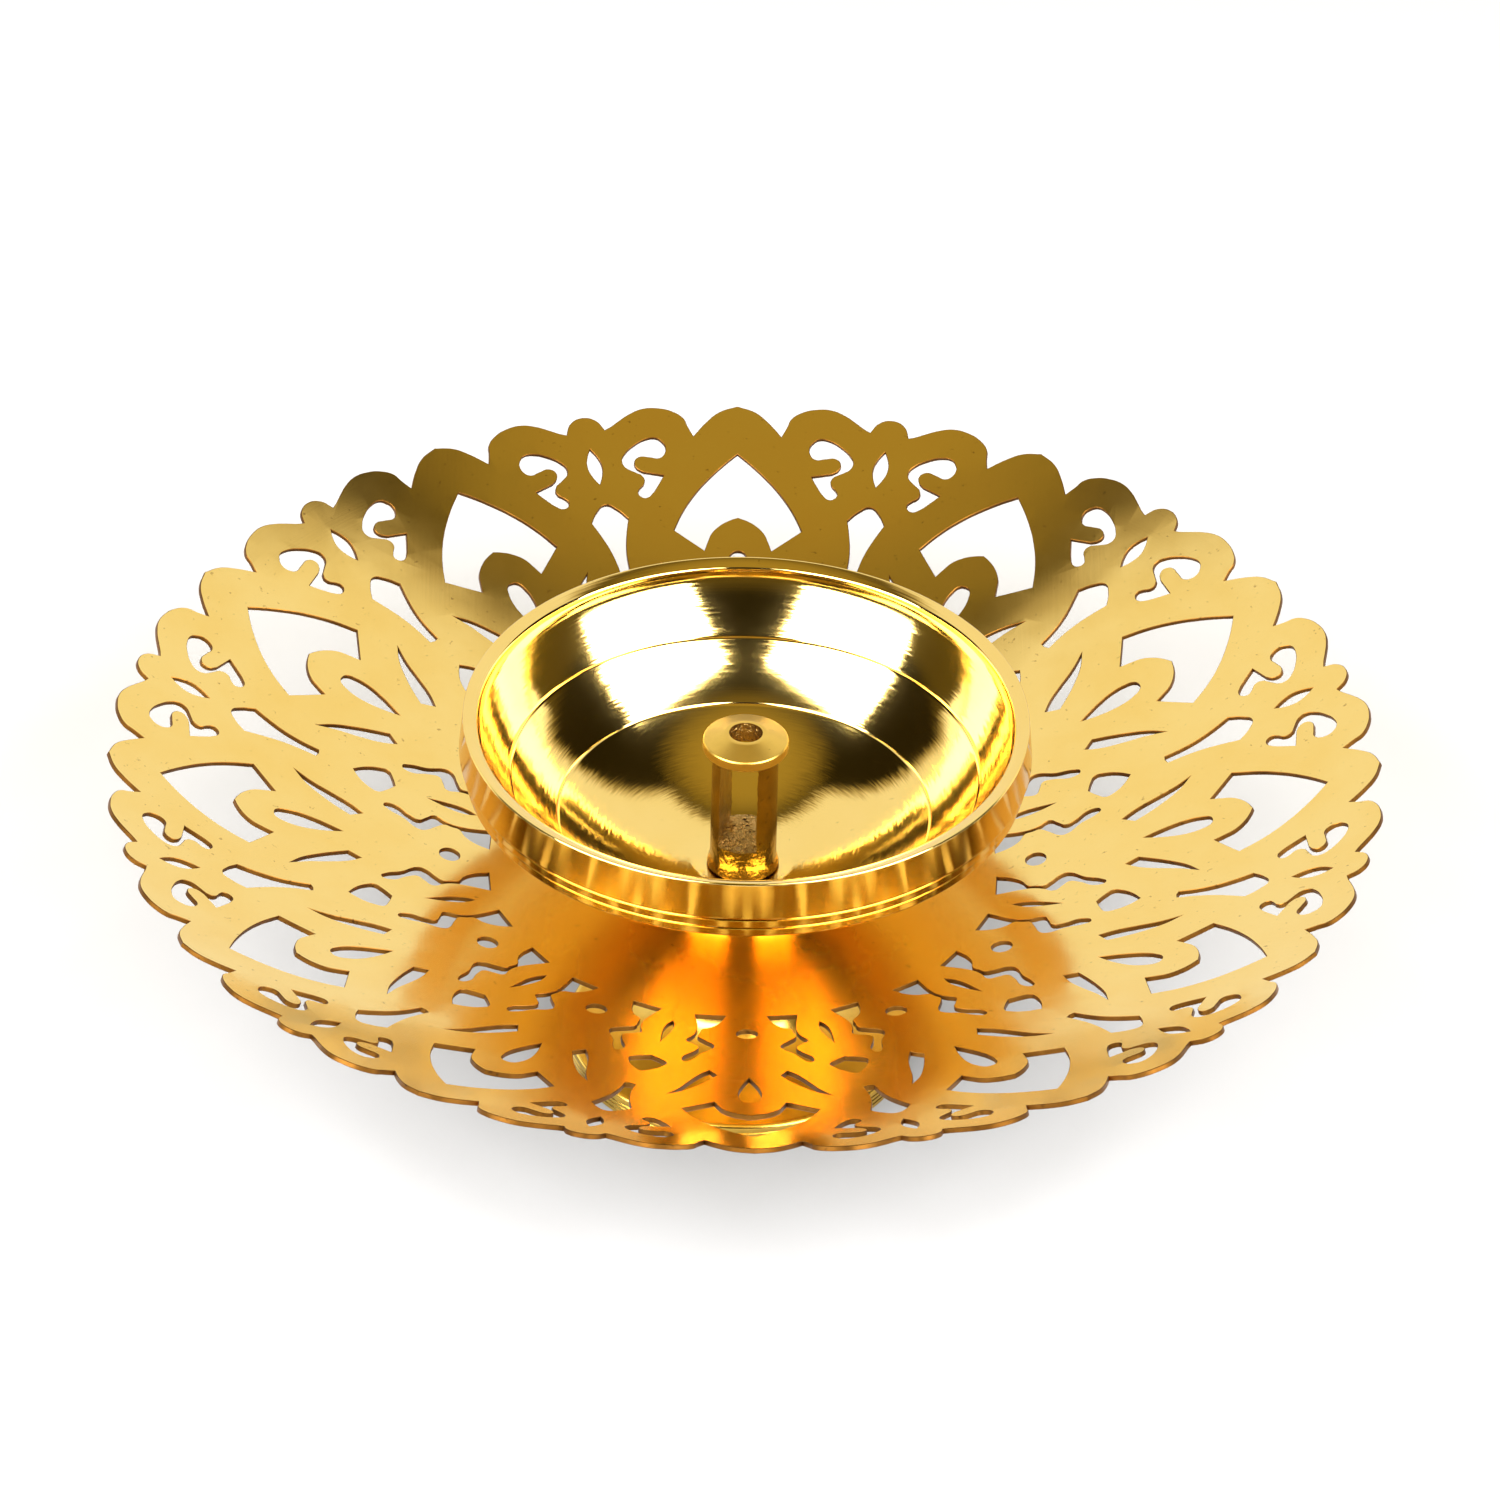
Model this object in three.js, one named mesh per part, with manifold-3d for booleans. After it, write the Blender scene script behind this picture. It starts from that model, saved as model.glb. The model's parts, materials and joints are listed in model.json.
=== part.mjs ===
// Diya oil lamp: a pierced brass dish, a turned oil bowl, a slotted wick post and a flared pedestal foot.
// Millimetres, +Z up. The origin is the middle of the foot's ground ring and +Y points to the back.
import * as THREE from "three";
import Module from "manifold-3d";
import { TessellateModifier } from "three/addons/modifiers/TessellateModifier.js";
import { mergeGeometries, mergeVertices } from "three/addons/utils/BufferGeometryUtils.js";

const wasm = await Module();
wasm.setup();

// Clearances
const SEAT_GAP = 0.3; // between faces that rest on or clamp one another
const BORE_GAP = 0.3; // round a stud or a spigot, on the radius

// Pedestal foot, a hollow turned casting
const FOOT_RADIUS = 27.5;
const FOOT_HEIGHT = 30.4;
const FOOT_WALL = 2.4;
const FOOT_BAND = 3.0; // height of the upright band at the ground
const FOOT_SHOULDER = 1.0; // height of the rounded shoulder over the band
const FLARE_HEIGHT = 11.3; // from the shoulder up to the waist
const WAIST_HEIGHT = 3.0;
const COLLAR_HEIGHT = 2.6; // turned bead over the waist
const COLLAR_STAND = 1.4; // how far the bead stands out from the waist
const TOP_PAD_RADIUS = 15.5;
const TOP_PAD_THICKNESS = 3.0;
const TOP_PAD_EDGE = 2.4;

// Jali plate, a dished and pierced sheet
const PLATE_RADIUS = 100;
const DISH_DEPTH = 24.5;
const SHEET = 0.8;
const PETALS = 12;
const DRAWN_RADIUS = 100; // the plate radius at which the pattern's points below are drawn
const LONGEST_EDGE = 20; // the pattern is split into edges no longer than this before it is dished

// Oil bowl, turned from one casting with its boss and clamping stud
const BOWL_RADIUS = 44.4;
const BOWL_HEIGHT = 31.6; // from the boss's seat to the lip
const BOWL_FLOOR = 3.3; // from the boss's seat to the inner floor
const BOWL_WALL = 1.8;
const BOSS_RADIUS = 12;
const LIP_WIDTH = 2.4;
const LIP_FALL = 0.7; // the lip slopes this far down to its inner edge
const LIP_DEPTH = 1.2; // straight wall under the lip's inner edge
const BAND_HEIGHT = 6.5; // polished upright band under the lip
const BEAD_STEP = 0.5; // each of the two turned steps under the band, inwards
const BEAD_HEIGHT = 1.9;
const POST_SEAT_MARGIN = 2.2; // flat turned on the inner floor, round the post
const SOCKET_DEPTH = 2.2;
const STUD_RADIUS = 3;
const STUD_END = 1.2; // stud showing below the nut

// Washer and nut under the foot's top pad
const WASHER_RADIUS = 6.2;
const WASHER_THICKNESS = 1.0;
const NUT_ACROSS_FLATS = 10;
const NUT_HEIGHT = 5;
const FITTING_ROOM = 1.0; // between the wider of washer and nut and the foot's bore

// Wick post
const POST_RADIUS = 5.25;
const POST_HEIGHT = 24.8; // from its seat to the top of the cap
const CAP_RADIUS = 6.76;
const CAP_EDGE = 1.7;
const CAP_RISE = 1.15; // the cap's top slopes up this far to the wick hole
const CAP_FLAT = 0.55; // flat ring round the wick hole
const WICK_HOLE_RADIUS = 2.65;
const SLOT_WIDTH = 6.1;
const SLOT_FLOOR = 5.2; // from the seat to the slot's floor
const SLOT_LINTEL = 0.7; // from the slot's top to the cap's underside
const SLOT_TURN = 14.5; // degrees that the slot's front opening is turned from -Y towards -X
const SPIGOT_RADIUS = 3;
const SPIGOT_LENGTH = 1.8;

// Facets
const ROUND_SEGMENTS = 40;
const SMALL_SEGMENTS = 32;
const CURVE_STEPS = 4;

// Levels that follow from the sizes above
const dishRadius = (PLATE_RADIUS ** 2 + DISH_DEPTH ** 2) / (2 * DISH_DEPTH);
const dishUnderside = FOOT_HEIGHT + SEAT_GAP;
const dishCentre = dishUnderside + dishRadius;
const dishTopAtBoss = dishCentre - Math.sqrt((dishRadius - SHEET) ** 2 - BOSS_RADIUS ** 2);
const bossSeat = dishTopAtBoss + SEAT_GAP;
const bowlFloor = bossSeat + BOWL_FLOOR;
const lipTop = bossSeat + BOWL_HEIGHT;
const postSeat = bowlFloor + SEAT_GAP;
const washerTop = FOOT_HEIGHT - TOP_PAD_THICKNESS - SEAT_GAP;
const nutTop = washerTop - WASHER_THICKNESS - SEAT_GAP;
const studTip = nutTop - NUT_HEIGHT - STUD_END;
const studHoleRadius = STUD_RADIUS + BORE_GAP;
const socketRadius = SPIGOT_RADIUS + BORE_GAP;
const postSeatRadius = POST_RADIUS + POST_SEAT_MARGIN;
const nutCornerRadius = NUT_ACROSS_FLATS / Math.sqrt(3);

// ---------------------------------------------------------------- helpers

function solidOf(geometry) {
  const bare = geometry.clone();
  bare.deleteAttribute("normal");
  bare.deleteAttribute("uv");
  const merged = mergeVertices(bare, 1e-4);
  const mesh = new wasm.Mesh({
    numProp: 3,
    vertProperties: new Float32Array(merged.attributes.position.array),
    triVerts: new Uint32Array(merged.index.array),
  });
  return new wasm.Manifold(mesh);
}

function geometryOf(solid) {
  const mesh = solid.getMesh();
  const geometry = new THREE.BufferGeometry();
  geometry.setAttribute("position", new THREE.BufferAttribute(mesh.vertProperties, 3));
  geometry.setIndex(new THREE.BufferAttribute(mesh.triVerts, 1));
  geometry.computeVertexNormals();
  return geometry;
}

// A turned body about Z from a path of (radius, height).
function turned(path, segments = ROUND_SEGMENTS) {
  return new THREE.LatheGeometry(path.getPoints(CURVE_STEPS), segments).rotateX(Math.PI / 2);
}

function pathThrough(points) {
  const path = new THREE.Path();
  path.moveTo(...points[0]);
  points.slice(1).forEach(([r, z]) => path.lineTo(r, z));
  return path;
}

// Loose triangles from a flat list of their corners' coordinates.
function cornersGeometry(coordinates) {
  const geometry = new THREE.BufferGeometry();
  return geometry.setAttribute("position", new THREE.Float32BufferAttribute(coordinates, 3));
}

function named(name, geometry, material) {
  const mesh = new THREE.Mesh(geometry, material);
  mesh.name = name;
  return mesh;
}

// ---------------------------------------------------------------- materials

function sheetBrass() {
  return new THREE.MeshStandardMaterial({ color: 0xe3b24e, roughness: 0.34, metalness: 1 });
}

function polishedBrass() {
  return new THREE.MeshStandardMaterial({ color: 0xecc566, roughness: 0.16, metalness: 1 });
}

function turnedBrass() {
  return new THREE.MeshStandardMaterial({ color: 0xd9a441, roughness: 0.28, metalness: 1 });
}

function castBrass() {
  return new THREE.MeshStandardMaterial({ color: 0xc08a2e, roughness: 0.45, metalness: 1 });
}

function platedSteel() {
  return new THREE.MeshStandardMaterial({ color: 0xb9bcc0, roughness: 0.4, metalness: 1 });
}

// ---------------------------------------------------------------- jali plate

// The pattern repeats in each petal and is the same on both sides of the petal's axis, so it is drawn
// as half a petal, with u across and v out along the petal's axis. The valley axis is the line
// between two petals: beside(r, w) is r out along it and w towards the petal.
const halfAngle = Math.PI / PETALS;
const holeAtDrawnSize = (studHoleRadius * DRAWN_RADIUS) / PLATE_RADIUS;

function beside(r, w) {
  const [across, out] = [Math.sin(halfAngle), Math.cos(halfAngle)];
  return [r * across - w * out, r * out + w * across];
}

// Half of a round hole on the petal's axis, from its inner end to its outer end.
function roundHoleHalf(centre, radius) {
  const turns = Array.from({ length: CURVE_STEPS + 1 }, (_, i) => (Math.PI * i) / CURVE_STEPS);
  return turns.map((t) => [radius * Math.sin(t), centre - radius * Math.cos(t)]);
}

const ROUND_HOLE_CENTRE = 46.45;
const ROUND_HOLE_RADIUS = 1.6;

const TEARDROP = [[0, 63.4], [1.3, 67], [1.75, 70.3], [1.4, 73], [0, 74.1]];
const CRESCENT_INNER = [[0, 80.5], [2.8, 79.1], [4.6, 76.9], [5.4, 74.4]];
const CRESCENT_OUTER = [[10.25, 77.8], [8.75, 81.3], [6.4, 85], [3.6, 88.2], [0, 91.6]];
const PETAL_TIP = [[0, DRAWN_RADIUS], [3, 99], [5.3, 97.1], [7.3, 94.8]];
const LOBE = [[8.6, 97.3], [10.8, 98.8], [13.3, 99.2], [15.8, 98.9], [18.3, 97.6], [20.3, 95.9]];
const VALLEY_BUMP = [[22, 94.7], [23.4, 96.1], beside(99.7, 0)];
// Half holes on the valley axis, as (r, w).
const ALMOND = [[94.3, 0], [91.2, 1.2], [88, 0]];
const VASE = [[84.3, 0], [83.2, 1.7], [81.3, 3.1], [78.6, 2.1], [75.2, 1.2], [70.4, 0.8], [70, 0]];
const KITE = [[64.2, 0], [62.4, 1.8], [60.3, 2.8], [59.2, 2.8], [57.3, 0]];
const SLIT = [[51.6, 0], [46.5, 0.65], [43.9, 0]];
// Whole holes between the two axes.
const LEAF = [[12.5, 71.2], [8.9, 68.2], [6.3, 64.6], [4.9, 62.3], [6, 60.3], [8.1, 63.2], [10.8, 68.6]];
const HOOK = [
  [12, 92.8], [13.5, 94.1], [16.2, 93.3], [18.7, 90.8], [18.6, 88.6], [16.2, 87.6], [15.4, 86.3],
  [16.3, 84.2], [15, 83.4], [13.2, 85.7], [12.3, 87.6], [15.8, 88], [17.1, 89.8], [15.4, 90.7], [12.9, 90.7],
];
const ZIGZAG = [
  [9.7, 57], [7.3, 53.9], [5.2, 50.9], [7.5, 47.5], [7.1, 45.4], [4.8, 43.4], [3.2, 40.2], [7.9, 39.9],
  [7.6, 44.8], [8, 46.9], [9.3, 49], [7.5, 51.4], [10, 55.4],
];

// Anticlockwise, so that the extrusion turns the holes the right way round by itself.
function halfPetalOutline() {
  const outline = [
    [0, holeAtDrawnSize],
    ...roundHoleHalf(ROUND_HOLE_CENTRE, ROUND_HOLE_RADIUS),
    ...TEARDROP,
    ...CRESCENT_INNER,
    ...CRESCENT_OUTER,
    ...PETAL_TIP,
    ...LOBE,
    ...VALLEY_BUMP,
    ...[...ALMOND, ...VASE, ...KITE, ...SLIT].map(([r, w]) => beside(r, w)),
    beside(holeAtDrawnSize, 0),
  ];
  return outline.reverse();
}

function vectors(points) {
  const scale = PLATE_RADIUS / DRAWN_RADIUS;
  return points.map(([u, v]) => new THREE.Vector2(u * scale, v * scale));
}

// Leaves out the triangles that lie wholly in one of the two planes where half petals meet.
function withoutSeamFaces(geometry) {
  const p = geometry.attributes.position;
  const offPetalAxis = (i) => Math.abs(p.getX(i));
  const offValleyAxis = (i) => Math.abs(p.getX(i) * Math.cos(halfAngle) - p.getY(i) * Math.sin(halfAngle));
  const kept = [];
  for (let i = 0; i < p.count; i += 3) {
    const corners = [i, i + 1, i + 2];
    const onSeam = [offPetalAxis, offValleyAxis].some((off) => corners.every((c) => off(c) < 1e-4));
    if (!onSeam) {
      corners.forEach((c) => kept.push(p.getX(c), p.getY(c), p.getZ(c)));
    }
  }
  return cornersGeometry(kept);
}

// The half petal's other half, with its faces turned to point out again.
function mirrored(geometry) {
  const p = geometry.attributes.position;
  const flipped = [];
  for (let i = 0; i < p.count; i += 3) {
    [i, i + 2, i + 1].forEach((c) => flipped.push(-p.getX(c), p.getY(c), p.getZ(c)));
  }
  return cornersGeometry(flipped);
}

// Bends the flat sheet into the dish: each point keeps its bearing, and the thickness stands square
// to the spherical underside.
function dished(geometry) {
  const p = geometry.attributes.position;
  for (let i = 0; i < p.count; i += 1) {
    const [x, y, height] = [p.getX(i), p.getY(i), p.getZ(i)];
    const inward = 1 - height / dishRadius;
    const drop = Math.sqrt(dishRadius ** 2 - x * x - y * y);
    p.setXYZ(i, x * inward, y * inward, dishCentre - drop * inward);
  }
  return geometry;
}

function jaliPlate() {
  const shape = new THREE.Shape(vectors(halfPetalOutline()));
  shape.holes = [LEAF, HOOK, ZIGZAG].map((hole) => new THREE.Path(vectors(hole)));
  const flat = new THREE.ExtrudeGeometry(shape, { depth: SHEET, bevelEnabled: false });
  flat.deleteAttribute("normal");
  flat.deleteAttribute("uv");
  const half = withoutSeamFaces(new TessellateModifier(LONGEST_EDGE, 8).modify(flat));
  const petal = mergeGeometries([half, mirrored(half)]);
  const petals = Array.from({ length: PETALS }, (_, i) => petal.clone().rotateZ(2 * halfAngle * i));
  const plate = mergeVertices(dished(mergeGeometries(petals)), 1e-3);
  plate.computeVertexNormals();
  return named("jali_plate", plate, sheetBrass());
}

// ---------------------------------------------------------------- oil bowl

function oilBowl() {
  const innerRadius = BOWL_RADIUS - LIP_WIDTH;
  const innerEdge = lipTop - LIP_FALL;
  const wallTop = innerEdge - LIP_DEPTH;
  // The inside is a sphere through the wall's foot and the rim of the flat where the post stands.
  const depth = wallTop - bowlFloor;
  const centre = (innerRadius ** 2 + depth ** 2 - postSeatRadius ** 2) / (2 * depth);
  const sphere = Math.hypot(centre, postSeatRadius);
  const centreZ = bowlFloor + centre;
  const outer = sphere + BOWL_WALL;
  const bandFoot = lipTop - BAND_HEIGHT;
  const beadFoot = bandFoot - 2 * BEAD_HEIGHT;
  const bossAngle = -Math.acos(BOSS_RADIUS / outer);
  const neckAngle = Math.asin((beadFoot - centreZ) / outer);
  const wallAngle = Math.asin((wallTop - centreZ) / sphere);
  const seatAngle = -Math.acos(postSeatRadius / sphere);

  const path = new THREE.Path();
  path.moveTo(0, studTip);
  path.lineTo(STUD_RADIUS, studTip);
  path.lineTo(STUD_RADIUS, bossSeat);
  path.lineTo(BOSS_RADIUS, bossSeat);
  path.absarc(0, centreZ, outer, bossAngle, neckAngle, false);
  path.lineTo(BOWL_RADIUS - 2 * BEAD_STEP, beadFoot);
  path.lineTo(BOWL_RADIUS - 2 * BEAD_STEP, beadFoot + BEAD_HEIGHT);
  path.lineTo(BOWL_RADIUS - BEAD_STEP, beadFoot + BEAD_HEIGHT);
  path.lineTo(BOWL_RADIUS - BEAD_STEP, bandFoot);
  path.lineTo(BOWL_RADIUS, bandFoot);
  path.lineTo(BOWL_RADIUS, lipTop);
  path.lineTo(innerRadius, innerEdge);
  path.absarc(0, centreZ, sphere, wallAngle, seatAngle, true);
  path.lineTo(socketRadius, bowlFloor);
  path.lineTo(socketRadius, bowlFloor - SOCKET_DEPTH);
  path.lineTo(0, bowlFloor - SOCKET_DEPTH);
  return named("oil_bowl", turned(path), polishedBrass());
}

// ---------------------------------------------------------------- wick post

function wickPost() {
  const capTop = postSeat + POST_HEIGHT;
  const capEdgeTop = capTop - CAP_RISE;
  const capUnderside = capEdgeTop - CAP_EDGE;
  const body = pathThrough([
    [0, postSeat - SPIGOT_LENGTH],
    [SPIGOT_RADIUS, postSeat - SPIGOT_LENGTH],
    [SPIGOT_RADIUS, postSeat],
    [POST_RADIUS, postSeat],
    [POST_RADIUS, capUnderside],
    [CAP_RADIUS, capUnderside],
    [CAP_RADIUS, capEdgeTop],
    [WICK_HOLE_RADIUS + CAP_FLAT, capTop],
    [0, capTop],
  ]);
  const slotBottom = postSeat + SLOT_FLOOR;
  const slotTop = capUnderside - SLOT_LINTEL;
  const slotHeight = slotTop - slotBottom;
  const slot = new THREE.BoxGeometry(SLOT_WIDTH, 4 * CAP_RADIUS, slotHeight);
  slot.rotateZ(-THREE.MathUtils.degToRad(SLOT_TURN));
  slot.translate(0, 0, slotBottom + slotHeight / 2);
  // The wick hole runs from above the cap down to the middle of the slot.
  const boreLength = 2 * (capTop - slotTop + slotHeight / 2);
  const bore = new THREE.CylinderGeometry(WICK_HOLE_RADIUS, WICK_HOLE_RADIUS, boreLength, SMALL_SEGMENTS);
  bore.rotateX(Math.PI / 2);
  bore.translate(0, 0, capTop);
  const post = solidOf(turned(body, SMALL_SEGMENTS)).subtract(solidOf(slot)).subtract(solidOf(bore));
  return named("wick_post", geometryOf(post), castBrass());
}

// ---------------------------------------------------------------- pedestal foot

function pedestalFoot() {
  const padUnderside = FOOT_HEIGHT - TOP_PAD_THICKNESS;
  const boreRadius = Math.max(WASHER_RADIUS, nutCornerRadius) + FITTING_ROOM;
  const waistRadius = boreRadius + FOOT_WALL;
  const shoulder = FOOT_BAND + FOOT_SHOULDER;
  const waistFoot = shoulder + FLARE_HEIGHT;
  const collarFoot = waistFoot + WAIST_HEIGHT;
  const collarTop = collarFoot + COLLAR_HEIGHT;
  const collarMiddle = (collarFoot + collarTop) / 2;
  const innerFoot = FOOT_RADIUS - FOOT_WALL;
  const flareRadius = FOOT_RADIUS - FOOT_WALL / 2;
  const padEdgeFoot = FOOT_HEIGHT - TOP_PAD_EDGE;

  const path = new THREE.Path();
  path.moveTo(innerFoot, 0);
  path.lineTo(FOOT_RADIUS, 0);
  path.lineTo(FOOT_RADIUS, FOOT_BAND);
  path.quadraticCurveTo(FOOT_RADIUS, shoulder, flareRadius, shoulder);
  path.quadraticCurveTo(waistRadius, shoulder + FOOT_SHOULDER, waistRadius, waistFoot);
  path.lineTo(waistRadius, collarFoot);
  path.quadraticCurveTo(waistRadius + 2 * COLLAR_STAND, collarMiddle, waistRadius, collarTop);
  path.quadraticCurveTo(waistRadius, padEdgeFoot, TOP_PAD_RADIUS, padEdgeFoot);
  path.lineTo(TOP_PAD_RADIUS, FOOT_HEIGHT);
  path.lineTo(studHoleRadius, FOOT_HEIGHT);
  path.lineTo(studHoleRadius, padUnderside);
  path.lineTo(boreRadius, padUnderside);
  path.lineTo(boreRadius, waistFoot);
  path.quadraticCurveTo(boreRadius, FOOT_BAND, innerFoot, shoulder - FOOT_WALL);
  path.lineTo(innerFoot, 0);
  return named("pedestal_foot", turned(path), turnedBrass());
}

// ---------------------------------------------------------------- washer and nut

function clampWasher() {
  const underside = washerTop - WASHER_THICKNESS;
  const profile = pathThrough([
    [studHoleRadius, underside],
    [WASHER_RADIUS, underside],
    [WASHER_RADIUS, washerTop],
    [studHoleRadius, washerTop],
    [studHoleRadius, underside],
  ]);
  return named("clamp_washer", turned(profile, SMALL_SEGMENTS), platedSteel());
}

function clampNut() {
  const corners = Array.from({ length: 6 }, (_, i) => (Math.PI * i) / 3);
  const hexagon = new THREE.Shape(
    corners.map((a) => new THREE.Vector2(nutCornerRadius * Math.cos(a), nutCornerRadius * Math.sin(a))),
  );
  const hole = new THREE.Path();
  hole.absarc(0, 0, studHoleRadius, 0, 2 * Math.PI, true);
  hexagon.holes = [hole];
  const nut = new THREE.ExtrudeGeometry(hexagon, { depth: NUT_HEIGHT, bevelEnabled: false });
  nut.translate(0, 0, nutTop - NUT_HEIGHT);
  return named("clamp_nut", nut, platedSteel());
}

// ---------------------------------------------------------------- assembly

const lamp = new THREE.Group();
lamp.add(pedestalFoot(), clampNut(), clampWasher(), jaliPlate(), oilBowl(), wickPost());

export default lamp;
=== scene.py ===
"""Diya oil lamp: a pierced and dished brass sheet, clamped between a turned oil bowl and a hollow foot.

Sizes are in millimetres in the frame of the CAD model, and are turned to metres where a mesh is made.
"""

import json
import math

import bmesh
import bpy
from mathutils import Matrix, Vector, noise

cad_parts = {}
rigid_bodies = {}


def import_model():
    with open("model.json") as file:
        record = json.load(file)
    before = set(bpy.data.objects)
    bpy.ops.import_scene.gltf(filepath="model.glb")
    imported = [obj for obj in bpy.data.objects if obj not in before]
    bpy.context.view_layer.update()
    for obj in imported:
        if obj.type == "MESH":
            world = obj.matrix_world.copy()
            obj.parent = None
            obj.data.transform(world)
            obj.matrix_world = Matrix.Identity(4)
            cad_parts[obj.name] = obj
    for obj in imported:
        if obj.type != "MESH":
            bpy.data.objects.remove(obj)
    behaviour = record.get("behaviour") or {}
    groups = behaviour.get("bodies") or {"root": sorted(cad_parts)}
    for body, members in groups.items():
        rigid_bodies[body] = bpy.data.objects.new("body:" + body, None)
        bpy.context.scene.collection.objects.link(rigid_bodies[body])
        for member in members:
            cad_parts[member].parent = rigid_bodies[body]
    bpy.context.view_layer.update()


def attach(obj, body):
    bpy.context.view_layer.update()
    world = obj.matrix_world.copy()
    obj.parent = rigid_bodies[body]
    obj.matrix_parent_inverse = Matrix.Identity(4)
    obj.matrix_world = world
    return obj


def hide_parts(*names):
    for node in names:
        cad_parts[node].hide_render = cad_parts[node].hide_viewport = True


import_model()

MM = 0.001
FULL_TURN = 2 * math.pi

# Jali plate
PLATE_RADIUS = 100
DISH_DEPTH = 24.5
SHEET = 0.8
PETALS = 12
HALF_PETAL = math.pi / PETALS
PLATE_UNDERSIDE = 30.7
DISH_RADIUS = (PLATE_RADIUS ** 2 + DISH_DEPTH ** 2) / (2 * DISH_DEPTH)
STUD_HOLE_RADIUS = 3.3

# Oil bowl
BOSS_SEAT = 32.134
BOSS_RADIUS = 12
BOWL_FLOOR = 35.434
LIP_TOP = 63.734
BOWL_RADIUS = 44.4
BOWL_INNER_RADIUS = 42.0
LIP_INNER_EDGE = LIP_TOP - 0.7
BOWL_WALL_TOP = LIP_INNER_EDGE - 1.2
BOWL_WALL = 1.8
BAND_FOOT = LIP_TOP - 6.5
BAND_FOOT_RADIUS = BOWL_RADIUS + 0.5  # the band leans in towards its top
BAND_TOP_RADIUS = BOWL_RADIUS - 0.1
STEP_HEIGHT = 1.9
STEP_IN = 0.5
POST_SEAT_RADIUS = 7.45
STUD_RADIUS = 3.0
STUD_TIP = 19.6
SOCKET_RADIUS = 3.3
SOCKET_DEPTH = 2.2
ENGRAVED_RINGS = (36.8, 29.3)

# Wick post
POST_SEAT = 35.734
POST_RADIUS = 5.25
SPIGOT_RADIUS = 3.0
SPIGOT_LENGTH = 1.8
CAP_RADIUS = 6.76
CAP_UNDERSIDE = 57.684
CAP_EDGE_TOP = 59.384
CAP_TOP = 60.534
WICK_HOLE_RADIUS = 2.65
SLOT_WIDTH = 6.1
SLOT_BOTTOM = 40.934
SLOT_TOP = 56.984
SLOT_TURN = math.radians(14.5)

# Foot, washer and nut
FOOT_RADIUS = 27.5
FOOT_HEIGHT = 30.4
WASHER_RADIUS = 6.2
WASHER_THICKNESS = 1.0
WASHER_TOP = 27.1
NUT_TOP = 25.8
NUT_HEIGHT = 5
NUT_ACROSS_FLATS = 10


# ---------------------------------------------------------------- helpers

WELD = 1e-4  # mm, the distance within which points are one
ROUNDING_STEPS = 5  # flat pieces in a rounded corner
HELD_FLAT = 0.05  # mm beyond a corner's rounding at which the face beside it is held flat


def linear(hex_colour):
    """An sRGB hex colour as a linear RGBA tuple."""
    parts = [int(hex_colour[i:i + 2], 16) / 255 for i in (1, 3, 5)]
    return tuple(c / 12.92 if c <= 0.04045 else ((c + 0.055) / 1.055) ** 2.4 for c in parts) + (1.0,)


def node(tree, kind, inputs=None, **settings):
    """Adds a node. Each input is a value, or the output socket that feeds it."""
    made = tree.nodes.new(kind)
    for key, value in settings.items():
        setattr(made, key, value)
    for key, value in (inputs or {}).items():
        if isinstance(value, bpy.types.NodeSocket):
            tree.links.new(value, made.inputs[key])
        else:
            made.inputs[key].default_value = value
    return made


def new_material(name):
    material = bpy.data.materials.new(name)
    material.use_nodes = True
    material.node_tree.nodes.clear()
    return material, material.node_tree


def finish_piece(name, bm, body, cad_node, materials, sharp=26):
    """Turns a finished bmesh, in millimetres, into a piece that stands for a CAD node.

    Edges that turn by more than sharp, in degrees, stay sharp.
    """
    bmesh.ops.scale(bm, vec=(MM, MM, MM), verts=bm.verts)
    mesh = bpy.data.meshes.new(name)
    bm.to_mesh(mesh)
    bm.free()
    mesh.polygons.foreach_set("use_smooth", [True] * len(mesh.polygons))
    mesh.set_sharp_from_angle(angle=math.radians(sharp))
    for material in materials:
        mesh.materials.append(material)
    piece = bpy.data.objects.new(name, mesh)
    bpy.context.scene.collection.objects.link(piece)
    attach(piece, body)
    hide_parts(cad_node)
    return piece


def arc(centre_z, radius, start, end, steps):
    """Profile points on an arc about a centre on the lamp's axis, between two radii from the axis."""
    a, b = -math.acos(start / radius), -math.acos(end / radius)
    angles = [a + (b - a) * i / steps for i in range(steps + 1)]
    return [(radius * math.cos(angle), centre_z + radius * math.sin(angle)) for angle in angles]


def arc_point(centre_z, radius, from_axis):
    """The one point of such an arc at a distance from the axis."""
    return (from_axis, centre_z - math.sqrt(radius ** 2 - from_axis ** 2))


def bend(start, corner, end, steps):
    """Profile points on a curve from start, which is left out, to end, that leans towards corner."""
    points = []
    for i in range(1, steps + 1):
        t = i / steps
        points.append(tuple((1 - t) ** 2 * s + 2 * t * (1 - t) * c + t * t * e
                            for s, c, e in zip(start, corner, end)))
    return points


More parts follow.
